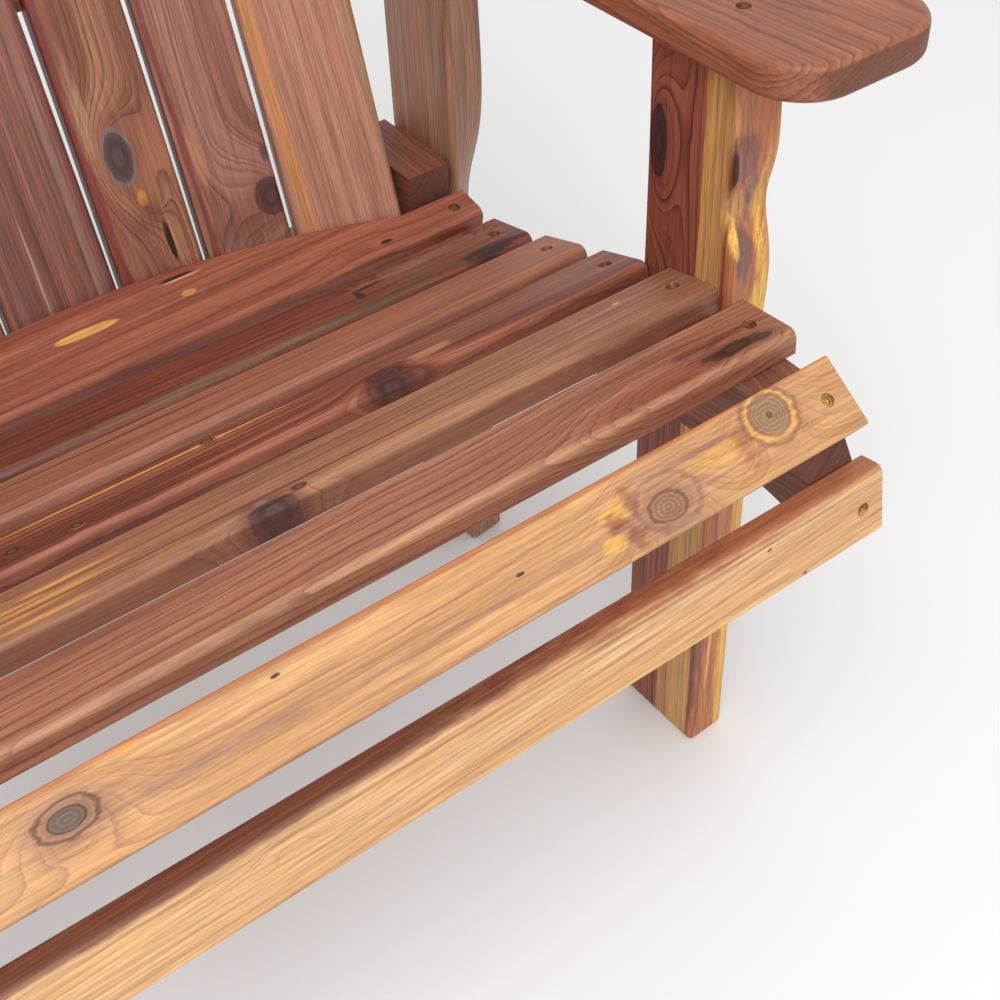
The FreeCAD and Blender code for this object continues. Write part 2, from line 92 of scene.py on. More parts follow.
def linear(code):
    """Scene-linear colour from a screen colour such as #8b5240."""
    channels = []
    for start in (1, 3, 5):
        value = int(code[start:start + 2], 16) / 255
        if value <= 0.04045:
            channels.append(value / 12.92)
        else:
            channels.append(((value + 0.055) / 1.055) ** 2.4)
    return (*channels, 1.0)


# ---- Node graphs ----

class Graph:
    """Short calls for building a node tree."""

    def __init__(self, tree):
        self.tree = tree

    def add(self, kind, **settings):
        node = self.tree.nodes.new(kind)
        for name, value in settings.items():
            setattr(node, name, value)
        return node

    def plug(self, value, socket):
        """Link a socket to another, or set it to a plain value."""
        if isinstance(value, bpy.types.NodeSocket):
            self.tree.links.new(value, socket)
        else:
            socket.default_value = value

    def math(self, operation, *values):
        node = self.add("ShaderNodeMath", operation=operation)
        for value, socket in zip(values, node.inputs):
            self.plug(value, socket)
        return node.outputs[0]

    def vector(self, operation, *values):
        node = self.add("ShaderNodeVectorMath", operation=operation)
        for value, socket in zip(values, node.inputs):
            self.plug(value, socket)
        return node.outputs["Value" if operation in ("DOT_PRODUCT", "LENGTH") else "Vector"]

    def scaled(self, vector, factor):
        node = self.add("ShaderNodeVectorMath", operation="SCALE")
        self.plug(vector, node.inputs[0])
        self.plug(factor, node.inputs["Scale"])
        return node.outputs["Vector"]

    def axes(self, vector):
        node = self.add("ShaderNodeSeparateXYZ")
        self.plug(vector, node.inputs[0])
        return node.outputs

    def blend(self, factor, first, second, blend_type="MIX"):
        node = self.add("ShaderNodeMix", data_type="RGBA", blend_type=blend_type)
        self.plug(factor, node.inputs["Factor"])
        self.plug(first, node.inputs[6])
        self.plug(second, node.inputs[7])
        return node.outputs[2]

    def noise(self, vector, scale, detail=2.0, roughness=0.5):
        node = self.add("ShaderNodeTexNoise")
        self.plug(vector, node.inputs["Vector"])
        node.inputs["Scale"].default_value = scale
        node.inputs["Detail"].default_value = detail
        node.inputs["Roughness"].default_value = roughness
        return node.outputs["Fac"]

    def noise_1d(self, value):
        node = self.add("ShaderNodeTexNoise", noise_dimensions="1D")
        self.plug(value, node.inputs["W"])
        node.inputs["Scale"].default_value = 1.0
        node.inputs["Detail"].default_value = 1.0
        return node.outputs["Fac"]

    def step(self, value, low, high, new_low=0.0, new_high=1.0):
        node = self.add("ShaderNodeMapRange", interpolation_type="SMOOTHSTEP")
        for item, socket in zip((value, low, high, new_low, new_high), node.inputs):
            self.plug(item, socket)
        return node.outputs[0]

    def ramp(self, value, stops):
        node = self.add("ShaderNodeValToRGB")
        elements = node.color_ramp.elements
        while len(elements) < len(stops):
            elements.new(0.5)
        for element, (position, level) in zip(elements, stops):
            element.position = position
            element.color = (level, level, level, 1)
        self.plug(value, node.inputs[0])
        return node.outputs[0]

    def bump(self, height, strength, distance):
        node = self.add("ShaderNodeBump")
        node.inputs["Strength"].default_value = strength
        node.inputs["Distance"].default_value = distance
        self.plug(height, node.inputs["Height"])
        return node.outputs[0]

    def group(self, tree, **values):
        node = self.add("ShaderNodeGroup", node_tree=tree)
        for name, value in values.items():
            self.plug(value, node.inputs[name.replace("_", " ")])
        return node.outputs


def new_group(name, vectors, floats, outputs):
    """Empty node group with vector inputs, then number inputs, and number outputs."""
    tree = bpy.data.node_groups.new(name, "ShaderNodeTree")
    for title in vectors:
        tree.interface.new_socket(title, in_out="INPUT", socket_type="NodeSocketVector")
    for title in floats:
        tree.interface.new_socket(title, in_out="INPUT", socket_type="NodeSocketFloat")
    for title in outputs:
        tree.interface.new_socket(title, in_out="OUTPUT", socket_type="NodeSocketFloat")
    graph = Graph(tree)
    entry = graph.add("NodeGroupInput")
    leave = graph.add("NodeGroupOutput")
    return graph, entry.outputs, leave.inputs


def reach_from(graph, given):
    """Distance from an ellipsoid's middle, 1 at its surface, with a ragged edge."""
    offset = graph.vector("DIVIDE", graph.vector("SUBTRACT", given["Grain"], given["Middle"]), given["Size"])
    return graph.math("ADD", graph.vector("LENGTH", offset), given["Wobble"])


def spot_group():
    """Soft-edged ellipsoid in the wood: a streak, stain or flake of other coloured wood."""
    graph, given, out = new_group("spot", ["Grain", "Middle", "Size"], ["Wobble", "Blur"], ["Mask"])
    reach = reach_from(graph, given)
    inside = graph.math("SUBTRACT", 1.0, given["Blur"])
    outside = graph.math("ADD", 1.0, given["Blur"])
    graph.plug(graph.step(reach, inside, outside, 1.0, 0.0), out["Mask"])
    return graph.tree


def knot_group():
    """Knot: it lifts the growth rings round itself, and has a core with rings of its own and a dark rim."""
    graph, given, out = new_group(
        "knot", ["Grain", "Middle", "Size"], ["Wobble", "Height", "Spread", "Count"],
        ["Lift", "Core", "Rim", "Rings", "Halo"])
    reach = reach_from(graph, given)
    far = graph.math("DIVIDE", reach, given["Spread"])
    fall = graph.math("EXPONENT", graph.math("MULTIPLY", graph.math("MULTIPLY", far, far), -1.0))
    graph.plug(graph.math("MULTIPLY", fall, given["Height"]), out["Lift"])
    graph.plug(graph.step(reach, *CORE_EDGE, 1.0, 0.0), out["Core"])
    rim = graph.math("ABSOLUTE", graph.math("SUBTRACT", reach, 1.0))
    graph.plug(graph.step(rim, *RIM_EDGE, 1.0, 0.0), out["Rim"])
    wave = graph.math("SINE", graph.math("MULTIPLY", reach, graph.math("MULTIPLY", given["Count"], math.tau)))
    graph.plug(graph.math("MULTIPLY_ADD", wave, 0.5, 0.5), out["Rings"])
    graph.plug(graph.step(reach, *HALO_EDGE, 1.0, 0.0), out["Halo"])
    return graph.tree


def texture_group():
    """What every board shares: slow waves of the grain, a finer wobble, and the fibres."""
    graph, given, out = new_group(
        "fibres", ["Grain"], ["Seed"], ["Slow", "Fine", "Fibre", "Streaky", "Wobble"])
    shifted = graph.vector("ADD", given["Grain"], graph.scaled(SEED_SHIFT, given["Seed"]))

    def cells(size, detail, roughness=0.5):
        return graph.noise(graph.vector("MULTIPLY", shifted, size), 1.0, detail, roughness)

    fine = cells(FINE_WAVES, 3.0, 0.6)
    graph.plug(cells(SLOW_WAVES, 2.0), out["Slow"])
    graph.plug(fine, out["Fine"])
    graph.plug(cells(FIBRE_CELLS, 4.0, 0.7), out["Fibre"])
    graph.plug(cells(STREAK_CELLS, 4.0, 0.75), out["Streaky"])
    graph.plug(graph.math("MULTIPLY_ADD", fine, WOBBLE, -WOBBLE / 2), out["Wobble"])
    return graph.tree


def ring_group():
    """Growth rings round a pith line below the board, bent by the grain's waves and by the knots."""
    graph, given, out = new_group(
        "rings", ["Grain"],
        ["Seed", "Slow", "Fine", "Lift", "Pith across", "Pith depth", "Taper", "Warp", "Ring"],
        ["Late", "Band", "Streak"])
    axis = graph.axes(given["Grain"])
    across = graph.math("SUBTRACT", axis["Y"], given["Pith across"])
    deep = graph.math("SUBTRACT", axis["Z"], given["Pith depth"])
    square = graph.math("MULTIPLY_ADD", across, across, graph.math("MULTIPLY", deep, deep))
    radius = graph.math("MULTIPLY_ADD", axis["X"], given["Taper"], graph.math("SQRT", square))
    wave = graph.math("MULTIPLY", graph.math("SUBTRACT", given["Slow"], NOISE_MIDDLE), given["Warp"])
    radius = graph.math("ADD", graph.math("ADD", radius, wave), given["Lift"])
    jitter = graph.math("MULTIPLY", graph.math("SUBTRACT", given["Fine"], NOISE_MIDDLE), RING_JITTER)
    turns = graph.math("ADD", graph.math("DIVIDE", radius, given["Ring"]), jitter)
    uneven = graph.noise_1d(graph.math("MULTIPLY_ADD", turns, UNEVEN_RATE, given["Seed"]))
    turns = graph.math("MULTIPLY_ADD", uneven, UNEVEN_WIDTH, turns)
    late = graph.ramp(graph.math("FRACT", turns), LATE_PROFILE)
    weight = graph.noise_1d(graph.math("MULTIPLY_ADD", turns, WEIGHT_RATE, WEIGHT_START))
    graph.plug(graph.math("MULTIPLY", late, graph.step(weight, *LATE_WEIGHTS)), out["Late"])
    flow = graph.add("ShaderNodeCombineXYZ")
    graph.plug(graph.math("MULTIPLY", turns, BAND_RATE), flow.inputs["X"])
    graph.plug(graph.math("MULTIPLY", axis["X"], BAND_STRETCH), flow.inputs["Y"])
    graph.plug(given["Seed"], flow.inputs["Z"])
    graph.plug(graph.step(graph.noise(flow.outputs[0], 1.0), *BAND_EDGE), out["Band"])
    graph.plug(graph.step(graph.noise(flow.outputs[0], STREAK_RATE, 3.0), *STREAK_EDGE), out["Streak"])
    return graph.tree


SPOT = spot_group()
KNOT = knot_group()
FIBRES = texture_group()
RINGS = ring_group()


# ---- Cedar ----

def board_frame(obj):
    """A board's own axes from its faces: X along the grain, Y across, Z out of its broad face."""
    mesh = obj.data
    count = len(mesh.polygons)
    normals = np.empty(count * 3)
    areas = np.empty(count)
    mesh.polygons.foreach_get("normal", normals)
    mesh.polygons.foreach_get("area", areas)
    normals = normals.reshape(-1, 3)
    spread = (normals * areas[:, None]).T @ normals
    _, axes = np.linalg.eigh(spread)
    grain = Vector(axes[:, 0])
    out = Vector(axes[:, 2])
    # The small parts of these directions settle the signs of boards that lie square to them
    if grain.dot(Vector((1.0, 0.02, 0.1))) < 0:
        grain = -grain
    if out.dot(Vector((0.1, -0.5, 1.0))) < 0:
        out = -out
    across = out.cross(grain).normalized()
    rotation = Matrix((grain, across, out)).transposed()
    points = np.empty(len(mesh.vertices) * 3)
    mesh.vertices.foreach_get("co", points)
    local = points.reshape(-1, 3) @ np.array(rotation)
    middle = (local.min(axis=0) + local.max(axis=0)) / 2
    return rotation, rotation @ Vector(middle)


def ragged(graph, texture, mark, usual):
    """Wobble of a mark's edge."""
    return graph.math("MULTIPLY", texture["Wobble"], mark.get("ragged", usual))


def grow_knot(graph, grain, texture, mark):
    along, across, length, width = mark["at"]
    return graph.group(
        KNOT, Grain=grain, Middle=(along, across, 0.0), Size=(length, width, KNOT_DEPTH),
        Wobble=ragged(graph, texture, mark, 0.4), Height=mark.get("lift", 0.012),
        Spread=mark.get("spread", 1.8), Count=mark.get("count", 5.0))


def paint_knot(graph, colour, mark, parts):
    halo = graph.math("MULTIPLY", parts["Halo"], mark.get("halo", 0.35))
    colour = graph.blend(halo, colour, linear(mark.get("around", "#7a4234")))
    heartwood = graph.blend(parts["Rings"], linear(mark["dark"]), linear(mark["light"]))
    core = graph.math("MULTIPLY", parts["Core"], mark.get("strength", 0.92))
    colour = graph.blend(core, colour, heartwood)
    rim = graph.math("MULTIPLY", parts["Rim"], mark.get("rim", 0.6))
    return graph.blend(rim, colour, linear(mark.get("edge", "#38201c")))


def paint_spot(graph, colour, grain, texture, rings, mark, late):
    along, across, length, width = mark["at"]
    mask = graph.group(
        SPOT, Grain=grain, Middle=(along, across, mark.get("deep", 0.0)),
        Size=(length, width, mark.get("depth", 0.2)), Blur=mark.get("blur", 0.25),
        Wobble=ragged(graph, texture, mark, 1.0))["Mask"]
    mask = graph.math("MULTIPLY", mask, mark.get("strength", 1.0))
    lines = graph.math("MULTIPLY", rings["Late"], LATE_IN_STAIN)
    stain = graph.blend(lines, linear(mark["colour"]), linear(late))
    return graph.blend(mask, colour, stain)


def sapwood(graph, grain, texture, rings, sap):
    """Where the pale outer wood lies, and its colour. Its edge wanders along the board."""
    axis = graph.axes(grain)
    edge = graph.math("MULTIPLY_ADD", axis["X"], sap["slope"], sap["edge"])
    far = graph.math("SUBTRACT", axis["Y"], edge)
    wander = graph.math("SUBTRACT", texture["Slow"], NOISE_MIDDLE)
    far = graph.math("MULTIPLY_ADD", wander, sap["wander"], far)
    wood = graph.blend(rings["Band"], linear(sap["colour"]), linear(sap["tone"]))
    return graph.step(far, 0.0, sap["blur"]), wood


def oiled(graph, colour, texture):
    """Fleck the colour with fibres and fine streaks, warmed by the oil."""
    shade = graph.math("MULTIPLY", graph.step(texture["Fibre"], *NOISE_RANGE, *FIBRE_SHADES),
                       graph.step(texture["Streaky"], *NOISE_RANGE, *STREAK_SHADES))
    fleck = graph.add("ShaderNodeCombineColor")
    for socket, strength in zip(fleck.inputs, OIL):
        graph.plug(graph.math("MULTIPLY", shade, strength), socket)
    return graph.blend(1.0, colour, fleck.outputs[0], "MULTIPLY")


def cedar(name, board, seed=0.0, heart="#8b5240", tone="#945a45", late="#6d3a2c", ring=0.0035, line=0.6,
          pith=(0.0, -0.09), taper=0.02, warp=0.012, sap=None, spots=(), knots=(), side_shade=0.0):
    """Solid oiled cedar for one board. Lengths are metres in the board's own axes: along, across, out.

    heart and tone are the bands of the heartwood and late its dark lines, which line makes stronger.
    Rings are ring apart, round a pith at (across, out). The last argument darkens the thin sides with painted
    shade.
    """
    rotation, middle = board
    material = bpy.data.materials.new(name)
    material.use_nodes = True
    material.node_tree.nodes.clear()
    graph = Graph(material.node_tree)

    place = graph.add("ShaderNodeTexCoord")
    mapping = graph.add("ShaderNodeMapping", vector_type="TEXTURE")
    graph.plug(place.outputs["Object"], mapping.inputs["Vector"])
    mapping.inputs["Location"].default_value = middle
    mapping.inputs["Rotation"].default_value = rotation.to_euler()
    grain = mapping.outputs[0]
    texture = graph.group(FIBRES, Grain=grain, Seed=seed)

    grown = [(mark, grow_knot(graph, grain, texture, mark)) for mark in knots]
    lift = 0.0
    for _, parts in grown:
        lift = graph.math("ADD", parts["Lift"], lift)
    rings = graph.group(RINGS, Grain=grain, Seed=seed, Slow=texture["Slow"], Fine=texture["Fine"], Lift=lift,
                        Pith_across=pith[0], Pith_depth=pith[1], Taper=taper, Warp=warp, Ring=ring)

    colour = graph.blend(rings["Band"], linear(heart), linear(tone))
    colour = graph.blend(graph.math("MULTIPLY", rings["Streak"], STREAK_STRENGTH), colour, linear(late))
    if sap:
        pale, wood = sapwood(graph, grain, texture, rings, sap)
        colour = graph.blend(pale, colour, wood)
        line = graph.math("MULTIPLY_ADD", pale, -LATE_IN_SAPWOOD * line, line)
    colour = graph.blend(graph.math("MULTIPLY", rings["Late"], line), colour, linear(late))
    for mark in spots:
        colour = paint_spot(graph, colour, grain, texture, rings, mark, late)
    for mark, parts in grown:
        if "dark" in mark:
            colour = paint_knot(graph, colour, mark, parts)
    colour = oiled(graph, colour, texture)

    # Sawn ends soak up oil and look darker. The thin sides are darkened with painted shade.
    normal = place.outputs["Normal"]
    facing = graph.math("ABSOLUTE", graph.vector("DOT_PRODUCT", normal, tuple(rotation.col[0])))
    end = graph.step(facing, *END_FACING)
    colour = graph.blend(graph.math("MULTIPLY", end, END_STRENGTH), colour, linear(SAWN_END))
    if side_shade:
        narrow_shade = graph.math("ABSOLUTE", graph.vector("DOT_PRODUCT", normal, tuple(rotation.col[1])))
        narrow_shade = graph.math("MULTIPLY", graph.step(narrow_shade, *SIDE_FACING), side_shade)
        colour = graph.blend(narrow_shade, colour, linear(NARROW_SIDE_SHADE))

    shader = graph.add("ShaderNodeBsdfPrincipled")
    graph.plug(colour, shader.inputs["Base Color"])
    rough = graph.math("MULTIPLY_ADD", texture["Fibre"], ROUGHNESS_SPREAD, ROUGHNESS - ROUGHNESS_SPREAD / 2)
    graph.plug(graph.math("MULTIPLY_ADD", end, SAWN_END_ROUGHER, rough), shader.inputs["Roughness"])
    shader.inputs["Specular IOR Level"].default_value = SPECULAR_LEVEL
    shader.inputs["Coat Weight"].default_value = COAT_WEIGHT
    shader.inputs["Coat Roughness"].default_value = COAT_ROUGHNESS
    height = graph.math("MULTIPLY_ADD", rings["Late"], LATE_HEIGHT, texture["Fibre"])
    graph.plug(graph.bump(height, GRAIN_BUMP, GRAIN_DEPTH), shader.inputs["Normal"])
    output = graph.add("ShaderNodeOutputMaterial")
    graph.plug(shader.outputs[0], output.inputs["Surface"])
    return material


def coat(name, material):
    """Give a CAD node its material."""
    NODES[name].data.materials.clear()
    NODES[name].data.materials.append(material)


def dress(name, **look):
    """Give one CAD board its own cedar."""
    coat(name, cedar(name + "_cedar", board_frame(NODES[name]), **look))


# ---- Marks in the wood, placed in millimetres from the middle of a board's broad face ----

def streak(along, across, length, width, colour=YELLOW, **more):
    """Streak or stain: its middle, and half its length and width."""
    return {"at": (along * MM, across * MM, length * MM, width * MM), "colour": colour, **more}


def knot(along, across, length, width, dark=None, light="#7a5546", **more):
    """Knot: its middle, and half its length and width. With no dark colour it only bends the grain."""
    look = {"at": (along * MM, across * MM, length * MM, width * MM), **more}
    if dark:
        look.update(dark=dark, light=light)
    return look


def plain_knot(along, across, length, width, dark="#3c2622", light="#5e3d34", lift=0.016):
    """Ordinary knot, with two rings and the grain bent round it."""
    return knot(along, across, length, width, dark, light, lift=lift, spread=2.0, count=2)


def bark_side(along, out, length, width, colour, **more):
    """Patch on a leg's natural front face, placed by its height and its distance outwards."""
    return streak(along, 42, length, 9, colour, deep=out * MM, depth=width * MM, **more)


def inner_face(along, length, width, colour, blur, strength):
    """Streak on the leg's face towards the seat, near its rear edge."""
    return streak(along, 36, length, width, colour, blur=blur, strength=strength,
                  deep=-19 * MM, depth=5 * MM)


# ---- Boards ----

SEAT_LOOKS = {
    "seat_slat_1": dict(
        seed=1.0, heart="#a06049", tone="#8a4b39", late="#5c2c22", ring=0.0034, line=0.65, taper=0.03,
        warp=0.012, side_shade=0.4, pith=(0.09, -0.05),
        spots=[streak(-2, 8, 25, 4.0, "#dba459", blur=0.12, ragged=0.5),
               streak(81, 5.5, 6, 3.0, "#c98f55", blur=0.2),
               streak(82, 24, 15, 1.6, "#2c1512", blur=0.3),
               streak(84, 21.4, 15, 1.1, "#d39b6c", blur=0.3),
               streak(238, -26, 5, 1.8, "#3a1c18", blur=0.4)],
        knots=[knot(214, -18, 30, 9, lift=0.011, spread=1.1)]),
    "seat_slat_2": dict(
        seed=2.0, heart="#8c4a38", tone="#733c2d", late="#3f1d16", ring=0.0036, line=0.95, taper=0.03,
        warp=0.02, side_shade=0.4, pith=(-0.07, -0.06),
        spots=[streak(60, -21, 110, 4, "#7c6448", blur=0.7, strength=0.6, ragged=3.0),
               streak(-150, -23, 130, 3, "#64483a", blur=0.7, strength=0.6, ragged=3.0),
               streak(290, -19, 30, 7, "#33201d", blur=0.3, ragged=1.8),
               streak(246, 10, 60, 6, "#9a7458", blur=0.6, strength=0.6, ragged=3.0),
               streak(215, -6, 46, 3, "#3f2624", blur=0.6, strength=0.7, ragged=3.4),
               streak(250, 2, 70, 15, "#8a6450", blur=0.6, strength=0.55, ragged=2.5),
               streak(200, -20, 60, 5, "#5e4a36", blur=0.6, strength=0.75, ragged=3.0),
               streak(193, 6, 14, 1.8, "#35191a", blur=0.4, ragged=1.5),
               streak(180, -2, 3, 7, "#3c1f1c", blur=0.4, ragged=1.8)],
        knots=[knot(192, 8, 16, 6, lift=0.009, spread=1.6),
               knot(262, 6, 40, 12, lift=0.018, spread=1.2)]),
    "seat_slat_3": dict(
        seed=3.0, heart="#9c6650", tone="#a6705a", late="#683829", ring=0.0030, line=0.8, taper=0.006,
        warp=0.004, pith=(0.2, -0.05), side_shade=0.45,
        spots=[streak(-40, 14, 95, 1.3, "#553229", blur=0.5, strength=0.8)]),
    "seat_slat_4": dict(
        seed=4.0, heart="#a8664e", tone="#713c2d", late="#421e18", ring=0.0034, line=0.9, taper=0.012,
        warp=0.012, side_shade=0.5, pith=(0.12, -0.05),
        spots=[streak(-50, 16, 100, 1.4, "#dba257", blur=0.4, ragged=0.6),
               streak(235, 6, 90, 9, "#936a58", blur=0.5, strength=0.6),
               streak(-250, -8, 60, 1.6, blur=0.4),
               streak(152, -4, 16, 5, "#b98a68", blur=0.5, strength=0.8, ragged=1.6)],
        knots=[knot(114, -7, 14, 7, "#34201d", "#553830", lift=0.02, spread=2.2, count=2, halo=0.6,
                    around="#5e2f26"),
               knot(109, -24, 11, 6, "#2f1a1c", "#4d2e2c", lift=0.006, count=1, halo=0.6, around="#4a2424"),
               knot(-148, -6, 5, 3, "#33201d", count=1),
               knot(-109, -12, 4, 3, "#33201d", count=1),
               knot(-7, 18, 5, 3, "#33201d", count=1)]),
    "seat_slat_5": dict(
        seed=5.0, heart="#a5755a", tone="#95654e", late="#673b2c", ring=0.0029, line=0.85, taper=0.004,
        warp=0.003, pith=(0.22, -0.04), side_shade=0.4,
        spots=[streak(-140, 8, 26, 1.6, blur=0.4, ragged=1.6),
               streak(-142, -2, 40, 1.8, blur=0.4, ragged=1.6),
               streak(-158, -17, 30, 1.8, blur=0.4, ragged=1.6),
               streak(-178, 3, 24, 1.1, blur=0.5, ragged=2.0),
               streak(-170, -8, 30, 1.3, blur=0.5, ragged=2.0),
               streak(-186, 12, 16, 1.0, blur=0.5, ragged=2.0),
               streak(267, 12, 3.5, 1.8, blur=0.3),
               streak(40, -8, 180, 1.1, "#5f3528", blur=0.6, strength=0.7),
               streak(60, -17, 200, 3.5, "#c39a74", blur=0.7, strength=0.5)],
        knots=[knot(-19, -23, 15, 8, "#33201f", "#4d3634", lift=0.014, spread=2.1, count=1.5, halo=0.75,
                    around="#6f4038", ragged=0.7),
               knot(-22, -13, 7, 2.6, "#75747c", "#8f8c92", lift=0.0, count=1, rim=0.2, halo=0.2,
                    strength=0.6),
               knot(3, -15, 5, 2.5, "#3a2220", count=1)]),
    "seat_slat_6": dict(
        seed=6.0, heart="#a57259", tone="#95624c", late="#5f251d", ring=0.0032, line=1.0, taper=0.012,
        warp=0.007, pith=(0.045, -0.06), side_shade=0.15,
        spots=[streak(225, -14, 70, 12, "#94553f", blur=0.6, strength=0.7),
               # Pale tan band along the front edge: partly paler sap-like wood, partly a painted highlight
               streak(-60, -22, 400, 2.4, "#c9a07c", blur=0.8, strength=0.5),
               streak(272, 2, 34, 3, "#5f3226", blur=0.5, strength=0.8, ragged=2.6)],
        knots=[knot(222, -9, 66, 20, lift=0.022, spread=1.0),
               knot(282, -12, 24, 5, "#2d1714", "#4c2b22", lift=0.006, ragged=1.8, count=1.5, halo=0.6,
                    around="#70392c"),
               knot(305, -14, 7, 3, "#3a2330", "#553a40", ragged=1.2, count=1)]),
    "seat_slat_7": dict(
        seed=7.0, heart="#c89b6c", tone="#b98b5c", late="#8f5c4a", ring=0.0042, line=0.6, taper=0.012,
        warp=0.010, pith=(0.07, -0.05),
        spots=[streak(-120, -3, 100, 2.4, "#8f6a60", blur=0.7, strength=0.6, ragged=2.4),
               streak(60, -8, 130, 2.2, "#957062", blur=0.7, strength=0.5, ragged=2.4),
               streak(-166, 22, 7, 1.6, "#dca24c", blur=0.4, ragged=1.5),
               streak(0, 25, 330, 3.2, "#b0683c", blur=0.5, ragged=0.6, strength=0.8),
               streak(225, 4, 40, 5, "#d9a44e", blur=0.6, strength=0.6),
               streak(205, 12, 36, 2, "#8a5c58", blur=0.6, strength=0.7),
               streak(238, 1, 6, 12, "#a0603a", blur=0.6, ragged=3.0, strength=0.8),
               streak(140, 4, 13, 6, "#e2ae5c", blur=0.3, ragged=1.8),
               streak(127, -12, 9, 5, "#e2ae5c", blur=0.3, ragged=1.8),
               streak(134, -3, 9, 5, "#7e3c2c", blur=0.5, ragged=3.2, strength=0.85),
               streak(142, -13, 5, 7, "#8c4a36", blur=0.6, ragged=3.4, strength=0.8),
               streak(149, 5, 5, 8, "#8c4a36", blur=0.6, ragged=3.4, strength=0.8),
               streak(66, 0, 3, 1, "#4a2c26"),
               streak(-83, 17, 3, 1, "#4a2c26")],
        knots=[knot(264, 9, 21, 18, "#e0ac5c", "#cf9c58", lift=0.03, spread=1.35, count=0.5, halo=0.4,
                    ragged=0.42, around="#a8765c", rim=0.55, edge="#7a5048", strength=0.85),
               knot(264, 10, 14.5, 13, "#80664f", "#947961", lift=0.0, count=5, rim=0.7, edge="#684a48",
                    halo=0.0, ragged=0.32),
               knot(264, 10, 2, 2, "#543f38", count=1, halo=0, rim=0.2),
               knot(172, -5, 23, 17, "#ac8168", "#b98c6c", lift=0.03, spread=1.5, count=4, rim=0.4,
                    edge="#75525c", around="#a0765f", strength=0.6, ragged=0.5),
               knot(170, -8, 13, 9, "#84604c", "#a07a5e", lift=0.0, count=4, rim=0.7, edge="#644040",
                    halo=0.3, ragged=0.5),
               knot(-207, 5, 17, 9, "#a9774e", "#8a6650", lift=0.03, spread=2.2, count=3, halo=0.6,
                    around="#8e6455", edge="#4d2c2a", rim=0.75, ragged=0.6),
               knot(-207, 5, 10, 5.5, "#54443e", "#6a5850", lift=0.0, count=2.5, halo=0.0, edge="#332220",
                    rim=0.85, ragged=0.4)]),
    "seat_slat_8": dict(
        seed=8.0, heart="#d8b082", tone="#cda070", late="#9a6a48", ring=0.0038, line=0.65, taper=0.045,
        warp=0.005, pith=(0.1, -0.07),
        spots=[streak(230, 27.5, 220, 5.2, "#93513a", blur=0.4, ragged=0.9, strength=0.85),
               streak(-330, 27.5, 500, 5.6, "#642f29", blur=0.3, ragged=0.6, strength=0.92),
               streak(60, 17, 260, 1.2, "#a06a50", blur=0.6, strength=0.7),
               streak(150, 21, 90, 1.4, "#8a5038", blur=0.6, ragged=1.6, strength=0.7),
               streak(200, -23, 200, 2.5, "#e2b760", blur=0.5, strength=0.6)],
        knots=[knot(255, -21, 1.6, 1.1, "#8a5a40", count=1, lift=0.002, rim=0.3),
               knot(226, 13, 1.6, 1.1, "#7a5240", count=1, lift=0.002, rim=0.3),
               knot(-115, 12, 16, 7, lift=0.008, spread=1.2)]),
}

